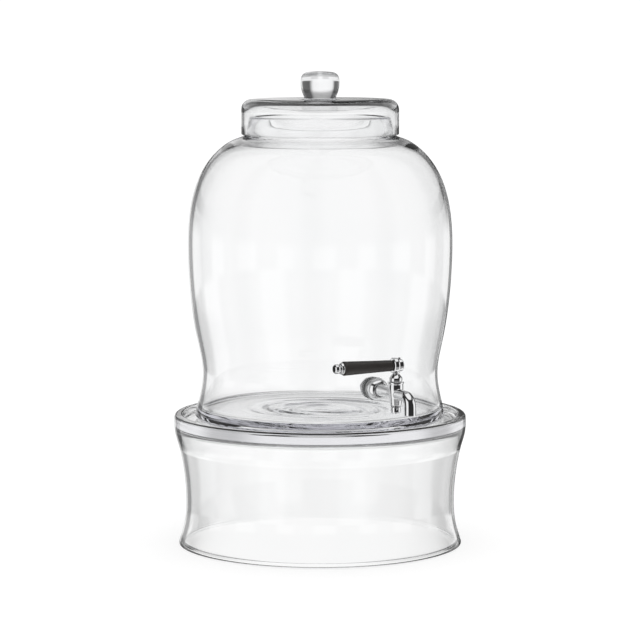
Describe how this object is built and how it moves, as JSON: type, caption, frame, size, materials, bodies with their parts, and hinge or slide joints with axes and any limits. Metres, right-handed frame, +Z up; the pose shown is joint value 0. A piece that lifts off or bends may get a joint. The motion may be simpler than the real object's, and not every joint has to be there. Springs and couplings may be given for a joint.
{
  "type": "beverage dispenser",
  "caption": "Clear glass drinks dispenser: waisted tank with a cap lid and a quarter-turn lever tap, standing on an open glass pedestal.",
  "frame": {"origin": "centre of the footprint on the table, so the tap's spout and the back of the stand are equally far from it", "axes": "+Z up along the tank's axis, -Y the way the tap's spout points, -X the way the closed lever points"},
  "size_m": [0.2924, 0.3394, 0.472],
  "materials": {
    "glass": "clear polished blown glass",
    "chrome": "polished chrome plate",
    "steel": "satin machined stainless steel",
    "grip_black": "satin brown-black moulded plastic",
    "clear_seal": "translucent silicone rubber",
    "black_seal": "matt black rubber"
  },
  "bodies": {
    "stand": {"stand": "glass"},
    "tank": {"tank": "glass", "tap_body": "chrome", "escutcheon": "chrome", "outer_washer": "clear_seal", "inner_washer": "clear_seal", "back_plate": "steel", "lock_nut": "steel", "bonnet_nut": "chrome", "stem_packing": "black_seal"},
    "lid": {"lid": "glass"},
    "lever": {"valve_plug": "steel", "plug_seal_upper": "black_seal", "plug_seal_lower": "black_seal", "bottom_washer": "steel", "bottom_nut": "chrome", "lever_head": "chrome", "lever_rod": "steel", "lever_grip": "grip_black", "grip_end_ring": "chrome", "lever_finial": "chrome", "head_screw": "steel", "stem_pin": "steel"}
  },
  "joints": [
    {"name": "tank_lift", "type": "slide", "parent": "stand", "child": "tank", "axis": [0, 0, 1], "range_m": [0, 0.15]},
    {"name": "lid_lift", "type": "slide", "parent": "tank", "child": "lid", "axis": [0, 0, 1], "range_m": [0, 0.08]},
    {"name": "lever_turn", "type": "hinge", "parent": "tank", "child": "lever", "pos_m": [0, -0.13555, 0.169], "axis": [0, 0, 1], "range_deg": [0, 90]}
  ]
}
